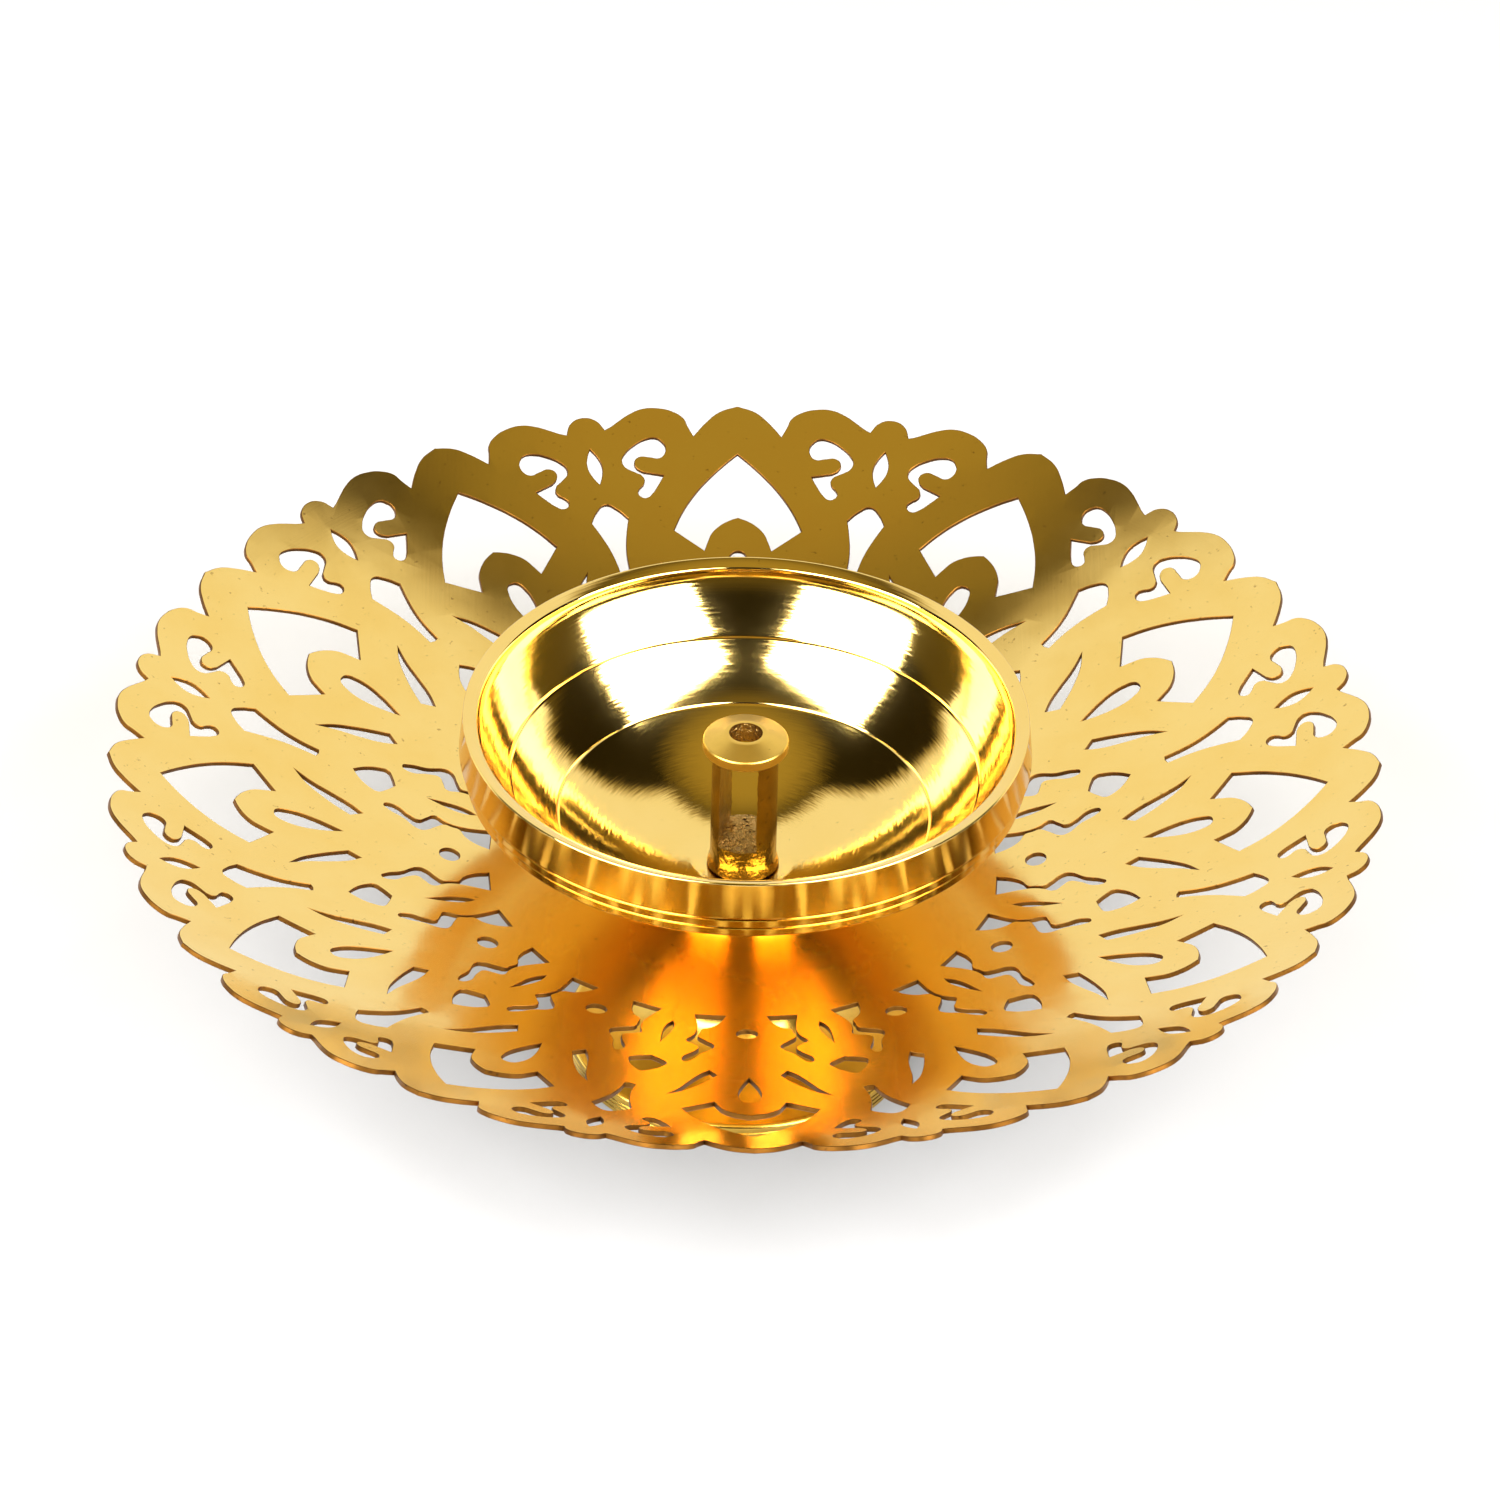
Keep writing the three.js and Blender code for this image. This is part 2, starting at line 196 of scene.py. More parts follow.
def turned(profile, steps, closed=False, eased=()):
    """Spins a profile of (radius, height) once round the lamp's axis.

    eased lists (index of a corner, size) for the corners to round off.
    """
    bm = bmesh.new()
    points = [bm.verts.new((r, 0, z)) for r, z in profile]
    for a, b in zip(points, points[1:]):
        bm.edges.new((a, b))
    if closed:
        bm.edges.new((points[-1], points[0]))
    # A point close beside each eased corner keeps the face next to it flat in its shading.
    for index, size in eased:
        corner = points[index]
        for edge in list(corner.link_edges):
            length = edge.calc_length()
            if length > size + HELD_FLAT:
                bmesh.utils.edge_split(edge, corner, (size + HELD_FLAT) / length)
    by_size = {}
    for index, size in eased:
        by_size.setdefault(size, []).append(points[index])
    for size, corners in by_size.items():
        bmesh.ops.bevel(bm, geom=corners, offset=size, offset_type="OFFSET", affect="VERTICES",
                        segments=ROUNDING_STEPS, profile=0.5, material=-1, clamp_overlap=True)
    bmesh.ops.spin(bm, geom=bm.verts[:] + bm.edges[:], cent=(0, 0, 0), axis=(0, 0, 1), dvec=(0, 0, 0),
                   angle=FULL_TURN, steps=steps, use_merge=True, use_duplicate=False)
    bmesh.ops.remove_doubles(bm, verts=bm.verts, dist=WELD)
    bmesh.ops.dissolve_degenerate(bm, edges=bm.edges, dist=WELD / 10)
    bmesh.ops.recalc_face_normals(bm, faces=bm.faces)
    return bm


# ---------------------------------------------------------------- finishes

CLOUD_MM = 18  # size of the soft clouds of colour and polish
SPECK_MM = 1.1  # size of the small dark pits
STAIN_MM = 4  # size of the dark patches, which on the stamped edge are painted shade
BUFFING_MM = 9  # spacing of the buffing marks
BUFFING_MARKS = ((0.5, 26.0), (2.1, 18.0))  # direction in radians, length as a multiple of the width
CHATTER_LINES_PER_MM = 3.0
CHATTER_PER_RADIAN = 7
ACROSS_THE_LINES = 0.25  # turns, from the tool's direction


def along_profile(tree, place):
    """How far along a turned profile a point lies: its distance from the lamp's axis plus its height."""
    flat = node(tree, "ShaderNodeVectorMath", {0: place, 1: (1, 1, 0)}, operation="MULTIPLY").outputs[0]
    radius = node(tree, "ShaderNodeVectorMath", {0: flat}, operation="LENGTH").outputs["Value"]
    height = node(tree, "ShaderNodeSeparateXYZ", {0: place}).outputs["Z"]
    return node(tree, "ShaderNodeMath", {0: radius, 1: height}, operation="ADD").outputs[0]


def lathe_lines(tree, place, lines_per_mm):
    """Fine uneven lines round the lamp's axis, as a lathe tool or a polishing pad leaves them."""
    along = along_profile(tree, place)
    return node(tree, "ShaderNodeTexNoise",
                {"W": along, "Scale": lines_per_mm / MM, "Detail": 3.0, "Roughness": 0.7},
                noise_dimensions="1D").outputs["Fac"]


def buffing_marks(tree, place, direction, stretch):
    """Stray marks of a buffing wheel: noise drawn out along one direction."""
    drawn_out = node(tree, "ShaderNodeMapping",
                     {"Vector": place, "Rotation": (0, 0, direction), "Scale": (stretch, 1, 1)})
    return node(tree, "ShaderNodeTexNoise",
                {"Vector": drawn_out.outputs["Vector"], "Scale": 1 / (BUFFING_MM * MM), "Detail": 2.0},
                ).outputs["Fac"]


def chattered(tree, place, normal, strength):
    """Leans the surface a little to and fro along the tool's lines, line by line: reflections fray."""
    parts = node(tree, "ShaderNodeSeparateXYZ", {0: place}).outputs
    angle = node(tree, "ShaderNodeMath", {0: parts["Y"], 1: parts["X"]}, operation="ARCTAN2").outputs[0]
    lines = node(tree, "ShaderNodeMath", {0: along_profile(tree, place), 1: CHATTER_LINES_PER_MM / MM},
                 operation="MULTIPLY").outputs[0]
    turns = node(tree, "ShaderNodeMath", {0: angle, 1: CHATTER_PER_RADIAN}, operation="MULTIPLY").outputs[0]
    grid = node(tree, "ShaderNodeCombineXYZ", {"X": lines, "Y": turns}).outputs[0]
    lean = node(tree, "ShaderNodeTexNoise", {"Vector": grid, "Scale": 1.0, "Detail": 1.0}).outputs["Fac"]
    amount = node(tree, "ShaderNodeMapRange",
                  {"Value": lean, "To Min": -strength, "To Max": strength}).outputs["Result"]
    along = node(tree, "ShaderNodeTangent", direction_type="RADIAL", axis="Z").outputs["Tangent"]
    offset = node(tree, "ShaderNodeVectorMath", {0: along, "Scale": amount}, operation="SCALE").outputs[0]
    leaned = node(tree, "ShaderNodeVectorMath", {0: normal, 1: offset}, operation="ADD").outputs[0]
    return node(tree, "ShaderNodeVectorMath", {0: leaned}, operation="NORMALIZE").outputs[0]


def brass(name, colour, deep, roughness, rough_spread, lines_per_mm=0.0, line_depth=0.0, wave_depth=0.0,
          wave_mm=24.0, pit_share=0.0, tarnish_and_shade="#7a5318", tarnish_and_shade_share=0.0, anisotropic=0.0,
          scratch_depth=0.0, chatter=0.0):
    """Bare yellow brass, a metal. The settings say how its surface was worked and how it has aged, and paint
    shade where a piece needs it: on the stamped edge and the post's sides.

    The depths are in mm. Chatter needs a surface that has some relief.
    """
    material, tree = new_material(name)
    place = node(tree, "ShaderNodeTexCoord").outputs["Object"]
    clouds = node(tree, "ShaderNodeTexNoise",
                  {"Vector": place, "Scale": 1 / (CLOUD_MM * MM), "Detail": 4.0, "Roughness": 0.6},
                  ).outputs["Fac"]
    cloud_share = node(tree, "ShaderNodeMapRange",
                       {"Value": clouds, "From Min": 0.38, "From Max": 0.68}).outputs["Result"]
    tint = node(tree, "ShaderNodeMix", {0: cloud_share, 6: linear(colour), 7: linear(deep)},
                data_type="RGBA").outputs[2]
    specks = node(tree, "ShaderNodeTexNoise",
                  {"Vector": place, "Scale": 1 / (SPECK_MM * MM), "Detail": 3.0, "Roughness": 0.55},
                  ).outputs["Fac"]
    dark_parts = [node(tree, "ShaderNodeMapRange",
                       {"Value": specks, "From Min": 0.72 - 0.1 * pit_share,
                        "From Max": 0.80 - 0.1 * pit_share, "To Max": min(1.0, pit_share)})]
    # Dark patches: aged brass on most pieces, painted shade on the stamped edge and the post's sides.
    if tarnish_and_shade_share:
        stain_and_shade = node(tree, "ShaderNodeTexNoise",
                     {"Vector": place, "Scale": 1 / (STAIN_MM * MM), "Detail": 5.0, "Roughness": 0.65},
                     ).outputs["Fac"]
        dark_parts.append(node(tree, "ShaderNodeMapRange",
                               {"Value": stain_and_shade, "From Min": 0.42, "From Max": 0.72,
                                "To Max": tarnish_and_shade_share}))
    for share in dark_parts:
        tint = node(tree, "ShaderNodeMix", {0: share.outputs["Result"], 6: tint, 7: linear(tarnish_and_shade)},
                    data_type="RGBA").outputs[2]
    roughened = node(tree, "ShaderNodeMapRange",
                     {"Value": clouds, "From Min": 0.3, "From Max": 0.7,
                      "To Min": max(0.02, roughness - rough_spread), "To Max": roughness + rough_spread},
                     ).outputs["Result"]
    reliefs = []
    if wave_depth:
        waves = node(tree, "ShaderNodeTexNoise",
                     {"Vector": place, "Scale": 1 / (wave_mm * MM), "Detail": 2.5, "Roughness": 0.5})
        reliefs.append((waves.outputs["Fac"], wave_depth))
    if line_depth:
        reliefs.append((lathe_lines(tree, place, lines_per_mm), line_depth))
    if scratch_depth:
        for direction, stretch in BUFFING_MARKS:
            reliefs.append((buffing_marks(tree, place, direction, stretch), scratch_depth))
    surface = {"Base Color": tint, "Metallic": 1.0, "Roughness": roughened}
    for height, depth in reliefs:
        relief = {"Height": height, "Distance": depth * MM, "Strength": 1.0}
        if "Normal" in surface:
            relief["Normal"] = surface["Normal"]
        surface["Normal"] = node(tree, "ShaderNodeBump", relief).outputs["Normal"]
    if chatter:
        surface["Normal"] = chattered(tree, place, surface["Normal"], chatter)
    if anisotropic:
        surface["Anisotropic"] = anisotropic
        surface["Anisotropic Rotation"] = ACROSS_THE_LINES
        surface["Tangent"] = node(tree, "ShaderNodeTangent", direction_type="RADIAL", axis="Z").outputs[0]
    shader = node(tree, "ShaderNodeBsdfPrincipled", surface)
    node(tree, "ShaderNodeOutputMaterial", {"Surface": shader.outputs[0]})
    return material


def sheet_brass():
    """Rolled brass sheet, pierced, dished and buffed by hand: bright, a little wavy, with stray marks."""
    return brass("sheet_brass_hand_buffed", "#f4d27c", "#f2cc70", 0.13, 0.03, wave_depth=0.05, wave_mm=22,
                 pit_share=0.5, scratch_depth=0.0015, lines_per_mm=1.6, line_depth=0.0012)


def edge_brass_painted_shade():
    """Raw stamped edge of the sheet, coloured dark brown as painted shade: the thin edges reflect the dark
    inside the holes.
    """
    return brass("sheet_brass_edge_painted_shade", "#7e5420", "#5a3810", 0.45, 0.1, pit_share=0.8,
                 tarnish_and_shade="#3b220a", tarnish_and_shade_share=0.6)


def polished_brass():
    """Turned and polished brass casting: a mirror with hairlines left by the lathe."""
    return brass("bowl_brass_turned_polished", "#f4d27c", "#f2ce74", 0.09, 0.02, lines_per_mm=1.5,
                 line_depth=0.0025, pit_share=0.3, scratch_depth=0.001, chatter=0.04)


def band_brass():
    """Outside of the rim, turned bright: reflections are drawn out upright, across the tool's lines. Its
    deeper orange colour is a painted reflection of the brass around it.
    """
    return brass("bowl_brass_turned_band", "#e2a93a", "#dfa436", 0.13, 0.02, lines_per_mm=1.5,
                 line_depth=0.0015, pit_share=0.3, anisotropic=1.0, chatter=0.012)


def underside_brass():
    """Outside of the bowl, turned but not polished: light smears across the tool's lines."""
    return brass("bowl_brass_turned_outside", "#f4d27c", "#f0ca6c", 0.27, 0.02, lines_per_mm=1.6,
                 line_depth=0.03, pit_share=0.4, anisotropic=1.0, chatter=0.015)


def turned_brass():
    """Foot casting, turned and left with the tool's lines: a bright satin with soft bands of light."""
    return brass("foot_brass_turned", "#eec55c", "#e4b348", 0.2, 0.04, lines_per_mm=1.4,
                 line_depth=0.004, pit_share=0.5, tarnish_and_shade_share=0.2)


def cap_brass():
    """Top of the wick post, faced on the lathe: a clean satin."""
    return brass("post_brass_faced_cap", "#ecc45c", "#e0b450", 0.30, 0.04, lines_per_mm=1.5,
                 line_depth=0.004, pit_share=0.3, tarnish_and_shade="#6a4614", tarnish_and_shade_share=0.1)


def cast_brass():
    """Wick post casting, turned outside: uneven, with broken highlights. Its colour is darker and browner
    than the cap's: painted shade on the post's sides.
    """
    return brass("post_brass_cast_turned", "#bc963e", "#94702a", 0.24, 0.05, wave_depth=0.16, wave_mm=0.9,
                 lines_per_mm=1.5, line_depth=0.004, pit_share=0.9, tarnish_and_shade="#5a3c12", tarnish_and_shade_share=0.35)


def slot_brass():
    """Inside of the post's slot, left as it came from the sand mould: pitted and dark."""
    return brass("post_brass_sand_cast", "#d8b878", "#a8894a", 0.24, 0.06, wave_depth=0.5, wave_mm=0.65,
                 pit_share=1.2, tarnish_and_shade="#4a3212", tarnish_and_shade_share=0.5)


def plated_steel():
    """Zinc-plated steel washer and nut: grey, with a soft grain."""
    material, tree = new_material("fitting_steel_zinc_plated")
    place = node(tree, "ShaderNodeTexCoord").outputs["Object"]
    grain_mm = 0.8
    grain = node(tree, "ShaderNodeTexNoise",
                 {"Vector": place, "Scale": 1 / (grain_mm * MM), "Detail": 4.0}).outputs["Fac"]
    tint = node(tree, "ShaderNodeMix", {0: grain, 6: linear("#b9bcc0"), 7: linear("#8f9499")},
                data_type="RGBA").outputs[2]
    roughened = node(tree, "ShaderNodeMapRange",
                     {"Value": grain, "To Min": 0.28, "To Max": 0.5}).outputs["Result"]
    bumps = node(tree, "ShaderNodeBump", {"Height": grain, "Distance": 0.01 * MM}).outputs["Normal"]
    shader = node(tree, "ShaderNodeBsdfPrincipled",
                  {"Base Color": tint, "Metallic": 1.0, "Roughness": roughened, "Normal": bumps})
    node(tree, "ShaderNodeOutputMaterial", {"Surface": shader.outputs[0]})
    return material


# ---------------------------------------------------------------- jali plate

# The pattern repeats in each petal and is the same on both sides of the petal's axis. Points are
# (across, out) from that axis, or from the valley's axis between two petals, and a third item marks a
# sharp corner.
SHARP = True
RIM = [(0, 100, SHARP), (3.0, 99.0), (5.1, 97.3), (7.3, 94.8, SHARP), (8.3, 96.5), (8.9, 97.7), (10.8, 98.8),
       (13.3, 99.2), (15.8, 98.9), (18.0, 97.8), (19.8, 96.4), (21.1, 95.3), (22.0, 94.7, SHARP),
       (23.42, 96.09)]
VALLEY_TIP = 99.7
SPADE = [(0, 91.9, SHARP), (1.9, 90.3), (4.15, 88.1), (6.6, 85.2), (8.95, 81.4), (10.5, 77.7, SHARP),
         (5.5, 74.1, SHARP), (4.95, 75.8), (4.3, 77.4), (2.8, 79.0), (1.3, 79.9), (0, 80.4, SHARP)]
TEARDROP = [(0, 74.1), (0.9, 73.8), (1.55, 72.3), (1.75, 70.3), (1.4, 67.8), (0.7, 65.3), (0, 63.4, SHARP)]
EYE_CENTRE = 46.45
EYE_RADIUS = 1.6
ALMOND = [(0, 94.3, SHARP), (0.8, 92.9), (1.2, 91.2), (0.8, 89.5), (0, 88.0, SHARP)]
VASE = [(0, 84.3), (1.7, 83.2), (3.1, 81.3, SHARP), (2.1, 78.6), (1.3, 75.8), (0.9, 73.0),
        (0.8, 70.2, SHARP), (0, 70.0, SHARP)]
KITE = [(0, 64.2, SHARP), (1.6, 62.6), (2.7, 60.6), (2.9, 59.3), (1.8, 58.3), (0, 57.3, SHARP)]
SLIT = [(0, 51.6, SHARP), (0.45, 49.0), (0.65, 46.5), (0.4, 44.9), (0, 43.9, SHARP)]
LEAF = [(12.5, 71.2, SHARP), (10.3, 69.6), (8.0, 67.0), (6.3, 64.6), (4.9, 62.3, SHARP), (6.0, 60.3, SHARP),
        (7.6, 62.3), (9.2, 65.3), (10.8, 68.6)]
HOOK = [(12.0, 92.8), (12.6, 93.6), (13.5, 94.1), (15.2, 93.8), (17.2, 92.5), (18.7, 90.8), (19.1, 89.6),
        (18.6, 88.6), (17.4, 88.0, SHARP), (15.95, 87.5, SHARP), (15.4, 86.8), (15.4, 86.0), (16.1, 85.0),
        (16.4, 84.2), (15.9, 83.5), (15.0, 83.4), (14.1, 84.2), (13.2, 85.7), (12.2, 87.7, SHARP),
        (15.6, 88.0, SHARP), (16.7, 88.6), (17.1, 89.6), (16.3, 90.6), (14.5, 90.7), (12.9, 90.7),
        (12.1, 91.5)]
ZIGZAG = [(9.7, 57.0), (8.7, 56.3), (7.3, 53.9), (5.2, 51.3), (5.3, 50.4), (6.8, 48.6), (7.6, 47.4),
          (7.3, 46.2), (7.0, 45.0), (5.4, 44.0), (4.1, 42.4), (3.2, 40.2, SHARP), (7.9, 39.9, SHARP),
          (7.6, 44.8), (7.9, 46.3), (8.4, 47.4), (9.3, 49.0), (8.4, 50.2), (7.5, 51.4), (8.2, 53.0),
          (10.0, 55.4)]
CURVE_STEPS = 6  # straight pieces between two points of an outline
CELL = 4.0  # the flat sheet is cut to cells of this size, so that it can bend into a dish
SEAM_WELD = 2e-3  # mm, the distance within which points of two petals are one
EDGE_BREAK = 0.09  # the stamped edges are broken by this much

# The dish is uneven by up to UNEVEN, in waves of UNEVEN_WAVE. The unevenness grows from where the bowl
# holds the sheet, over UNEVEN_GROWS, and fades over the last UNEVEN_FADES before a circle past the rim.
UNEVEN = 0.22
UNEVEN_WAVE = 26
UNEVEN_LAYER = 3.1  # which layer of the noise the waves are taken from
UNEVEN_FROM = 18
UNEVEN_GROWS = 50
UNEVEN_FADES = 12
UNEVEN_TO = PLATE_RADIUS + 2


def both_sides(half):
    """A whole outline from its half, which starts on the axis and may end on it."""
    back = [(-p[0], *p[1:]) for p in reversed(half) if p[0] != 0]
    return half + back


def bearing(points, angle):
    """Turns an outline's axis from straight back towards the right."""
    c, s = math.cos(angle), math.sin(angle)
    return [(p[0] * c + p[1] * s, p[1] * c - p[0] * s, *p[2:]) for p in points]


def circle(radius, centre, count):
    """An outline round a point on the petal's axis."""
    angles = [FULL_TURN * i / count for i in range(count)]
    return [(radius * math.sin(angle), centre + radius * math.cos(angle)) for angle in angles]


def add_outline(curve, points):
    spline = curve.splines.new("BEZIER")
    spline.bezier_points.add(len(points) - 1)
    spline.use_cyclic_u = True
    for knot, point in zip(spline.bezier_points, points):
        knot.co = (point[0], point[1], 0)
        knot.handle_left_type = knot.handle_right_type = "VECTOR" if len(point) > 2 else "AUTO"


def pierced_sheet():
    """The flat sheet as a filled outline, with the holes of one petal only."""
    curve = bpy.data.curves.new("jali_outline", "CURVE")
    curve.dimensions = "2D"
    curve.fill_mode = "BOTH"
    curve.resolution_u = CURVE_STEPS
    petal_rim = [(-p[0], *p[1:]) for p in reversed(RIM[1:])] + RIM
    valley = [(VALLEY_TIP * math.sin(HALF_PETAL), VALLEY_TIP * math.cos(HALF_PETAL))]
    add_outline(curve, [p for i in range(PETALS) for p in bearing(petal_rim + valley, i * 2 * HALF_PETAL)])
    add_outline(curve, circle(STUD_HOLE_RADIUS, 0, 12))
    add_outline(curve, circle(EYE_RADIUS, EYE_CENTRE, 8))
    for hole in (SPADE, TEARDROP):
        add_outline(curve, both_sides(hole))
    for hole in (ALMOND, VASE, KITE, SLIT):
        add_outline(curve, bearing(both_sides(hole), HALF_PETAL))
    for hole in (LEAF, HOOK, ZIGZAG):
        add_outline(curve, hole)
    outline = bpy.data.objects.new("jali_outline", curve)
    bpy.context.scene.collection.objects.link(outline)
    bpy.context.view_layer.update()
    flat = bpy.data.meshes.new_from_object(outline.evaluated_get(bpy.context.evaluated_depsgraph_get()))
    bpy.data.objects.remove(outline)
    bm = bmesh.new()
    bm.from_mesh(flat)
    bpy.data.meshes.remove(flat)
    bmesh.ops.remove_doubles(bm, verts=bm.verts, dist=10 * WELD)
    return bm


def everything(bm):
    return bm.verts[:] + bm.edges[:] + bm.faces[:]


def pierced_wedge():
    """Half a petal of the flat pierced sheet, split into small cells."""
    bm = pierced_sheet()
    sides = (Vector((-1, 0, 0)), Vector((math.cos(HALF_PETAL), -math.sin(HALF_PETAL), 0)))
    for side in sides:
        bmesh.ops.bisect_plane(bm, geom=everything(bm), dist=WELD, plane_co=(0, 0, 0), plane_no=side,
                               clear_outer=True)
    across = int(PLATE_RADIUS * math.sin(HALF_PETAL) / CELL) + 1
    out = int(PLATE_RADIUS / CELL) + 1
    cuts = [((i * CELL, 0, 0), (1, 0, 0)) for i in range(1, across + 1)]
    cuts += [((0, i * CELL, 0), (0, 1, 0)) for i in range(1, out + 1)]
    for place, direction in cuts:
        made = bmesh.ops.bisect_plane(bm, geom=everything(bm), dist=WELD, plane_co=place, plane_no=direction)
        for item in made["geom_cut"]:
            if isinstance(item, bmesh.types.BMEdge):
                item.seam = True
    # Only the cell borders, which are marked as seams, are left inside the outline.
    bmesh.ops.dissolve_limit(bm, angle_limit=1e-3, use_dissolve_boundaries=False,
                             verts=bm.verts[:], edges=bm.edges[:], delimit={"SEAM"})
    return bm


def dish(bm):
    """Bends the flat sheet into the dish, and gives it the slight unevenness of hand forming."""
    centre_z = PLATE_UNDERSIDE + DISH_RADIUS
    for vert in bm.verts:
        x, y, height = vert.co
        radius = math.hypot(x, y)
        inward = 1 - height / DISH_RADIUS
        drop = math.sqrt(DISH_RADIUS ** 2 - radius ** 2)
        grown = min(1.0, max(0.0, (radius - UNEVEN_FROM) / UNEVEN_GROWS))
        kept = min(1.0, (UNEVEN_TO - radius) / UNEVEN_FADES)
        wave = noise.noise(Vector((x / UNEVEN_WAVE, y / UNEVEN_WAVE, UNEVEN_LAYER)))
        vert.co = (x * inward, y * inward, centre_z - drop * inward + UNEVEN * grown * kept * wave)


def jali_plate():
    bm = pierced_wedge()
    bmesh.ops.mirror(bm, geom=everything(bm), matrix=Matrix.Identity(4), merge_dist=10 * WELD, axis="X")
    bmesh.ops.spin(bm, geom=everything(bm), cent=(0, 0, 0), axis=(0, 0, 1), dvec=(0, 0, 0),
                   angle=FULL_TURN * (PETALS - 1) / PETALS, steps=PETALS - 1, use_duplicate=True)
    bmesh.ops.remove_doubles(bm, verts=bm.verts, dist=SEAM_WELD)
    for edge in bm.edges:
        edge.seam = False
    made = bmesh.ops.extrude_face_region(bm, geom=bm.faces[:], use_keep_orig=True)
    lifted = [item for item in made["geom"] if isinstance(item, bmesh.types.BMVert)]
    bmesh.ops.translate(bm, vec=(0, 0, SHEET), verts=lifted)
    bmesh.ops.recalc_face_normals(bm, faces=bm.faces)
    bm.normal_update()
    for face in bm.faces:
        # The hole walls and the outer rim take the stamped-edge material, whose dark brown is painted shade.
        face.material_index = 1 if abs(face.normal.z) < 0.5 else 0
    corners = [edge for edge in bm.edges if len({face.material_index for face in edge.link_faces}) == 2]
    broken = bmesh.ops.bevel(bm, geom=corners, offset=EDGE_BREAK, offset_type="OFFSET", affect="EDGES",
                             segments=1, profile=0.5, material=-1, clamp_overlap=False, loop_slide=True)
    # The broken edges get the same painted shade.
    for face in broken["faces"]:
        face.material_index = 1
    dish(bm)
    return finish_piece("pierced_dish", bm, "lamp_body", "jali_plate",
                        [sheet_brass(), edge_brass_painted_shade()])


# ---------------------------------------------------------------- oil bowl

NECK_START = 0.6  # how far up the edge of the boss the hollow under the bowl starts
NECK_FILLET = 4.0  # how far out that hollow reaches, between the boss and the bowl's outside
NECK_PIECES = 8
SHELL_PIECES = 38
ARC_PIECES_PER_MM = 1.4  # on the inside of the bowl
GROOVE_HALF_WIDTH = 0.2
GROOVE_DEPTH = 0.09
COVE_HEIGHT = 0.5
COVE_DEPTH = 0.35
LIP_PIECES = 6
CROWN_IN = 1.1  # the point towards which the lip's curve leans, from the bowl's inner edge
CROWN_DOWN = 0.3  # and from the lip's top
LIP_DROP = 0.1  # how far the curve ends below the CAD lip's inner edge
TURNED_BAND_TOP = LIP_TOP - 0.45  # the rim is polished above this height
TURNED_BAND_INSIDE = BOWL_INNER_RADIUS + 0.8  # and inside this radius


def engraved_inside(centre_z, radius):
    """The bowl's inner profile from the wall down to the post's seat, with its two engraved rings."""
    points = []
    stops = [BOWL_INNER_RADIUS, *ENGRAVED_RINGS, POST_SEAT_RADIUS]
    for i, (outer, inner) in enumerate(zip(stops, stops[1:])):
        first, last = i == 0, i == len(stops) - 2
        start = outer if first else outer - GROOVE_HALF_WIDTH
        end = inner if last else inner + GROOVE_HALF_WIDTH
        pieces = max(6, round((start - end) * ARC_PIECES_PER_MM))
        # Points close beside each groove keep the wall next to it smooth in its shading.
        if not first:
            points.append(arc_point(centre_z, radius, start))
        points += arc(centre_z, radius, start if first else start - HELD_FLAT,
                      end if last else end + HELD_FLAT, pieces)
        if not last:
            deep = radius + GROOVE_DEPTH
            points += [arc_point(centre_z, radius, end), arc_point(centre_z, deep, inner * deep / radius)]
    return points


def rim_profile():
    """The two steps under the band, the band and the crowned lip, as points and as corners to round off."""
    points = []
    for i in (2, 1):  # each step hollows into a small cove under the next edge
        radius, top = BAND_FOOT_RADIUS - i * STEP_IN, BAND_FOOT - (i - 1) * STEP_HEIGHT
        points += [(radius, top - STEP_HEIGHT), (radius, top - COVE_HEIGHT), (radius - COVE_DEPTH, top)]
    points += [(BAND_FOOT_RADIUS, BAND_FOOT), (BAND_TOP_RADIUS, LIP_TOP)]
    # The lip falls slowly at first, and faster towards the bowl's wall.
    points += bend(points[-1], (BOWL_INNER_RADIUS + CROWN_IN, LIP_TOP - CROWN_DOWN),
                   (BOWL_INNER_RADIUS, LIP_INNER_EDGE - LIP_DROP), LIP_PIECES)
    step_edges = [(0, 0.25), (1, 0.12), (3, 0.25), (4, 0.12)]
    band_and_lip_edges = [(6, 0.35), (7, 0.35), (7 + LIP_PIECES, 0.3)]
    return points, step_edges + band_and_lip_edges


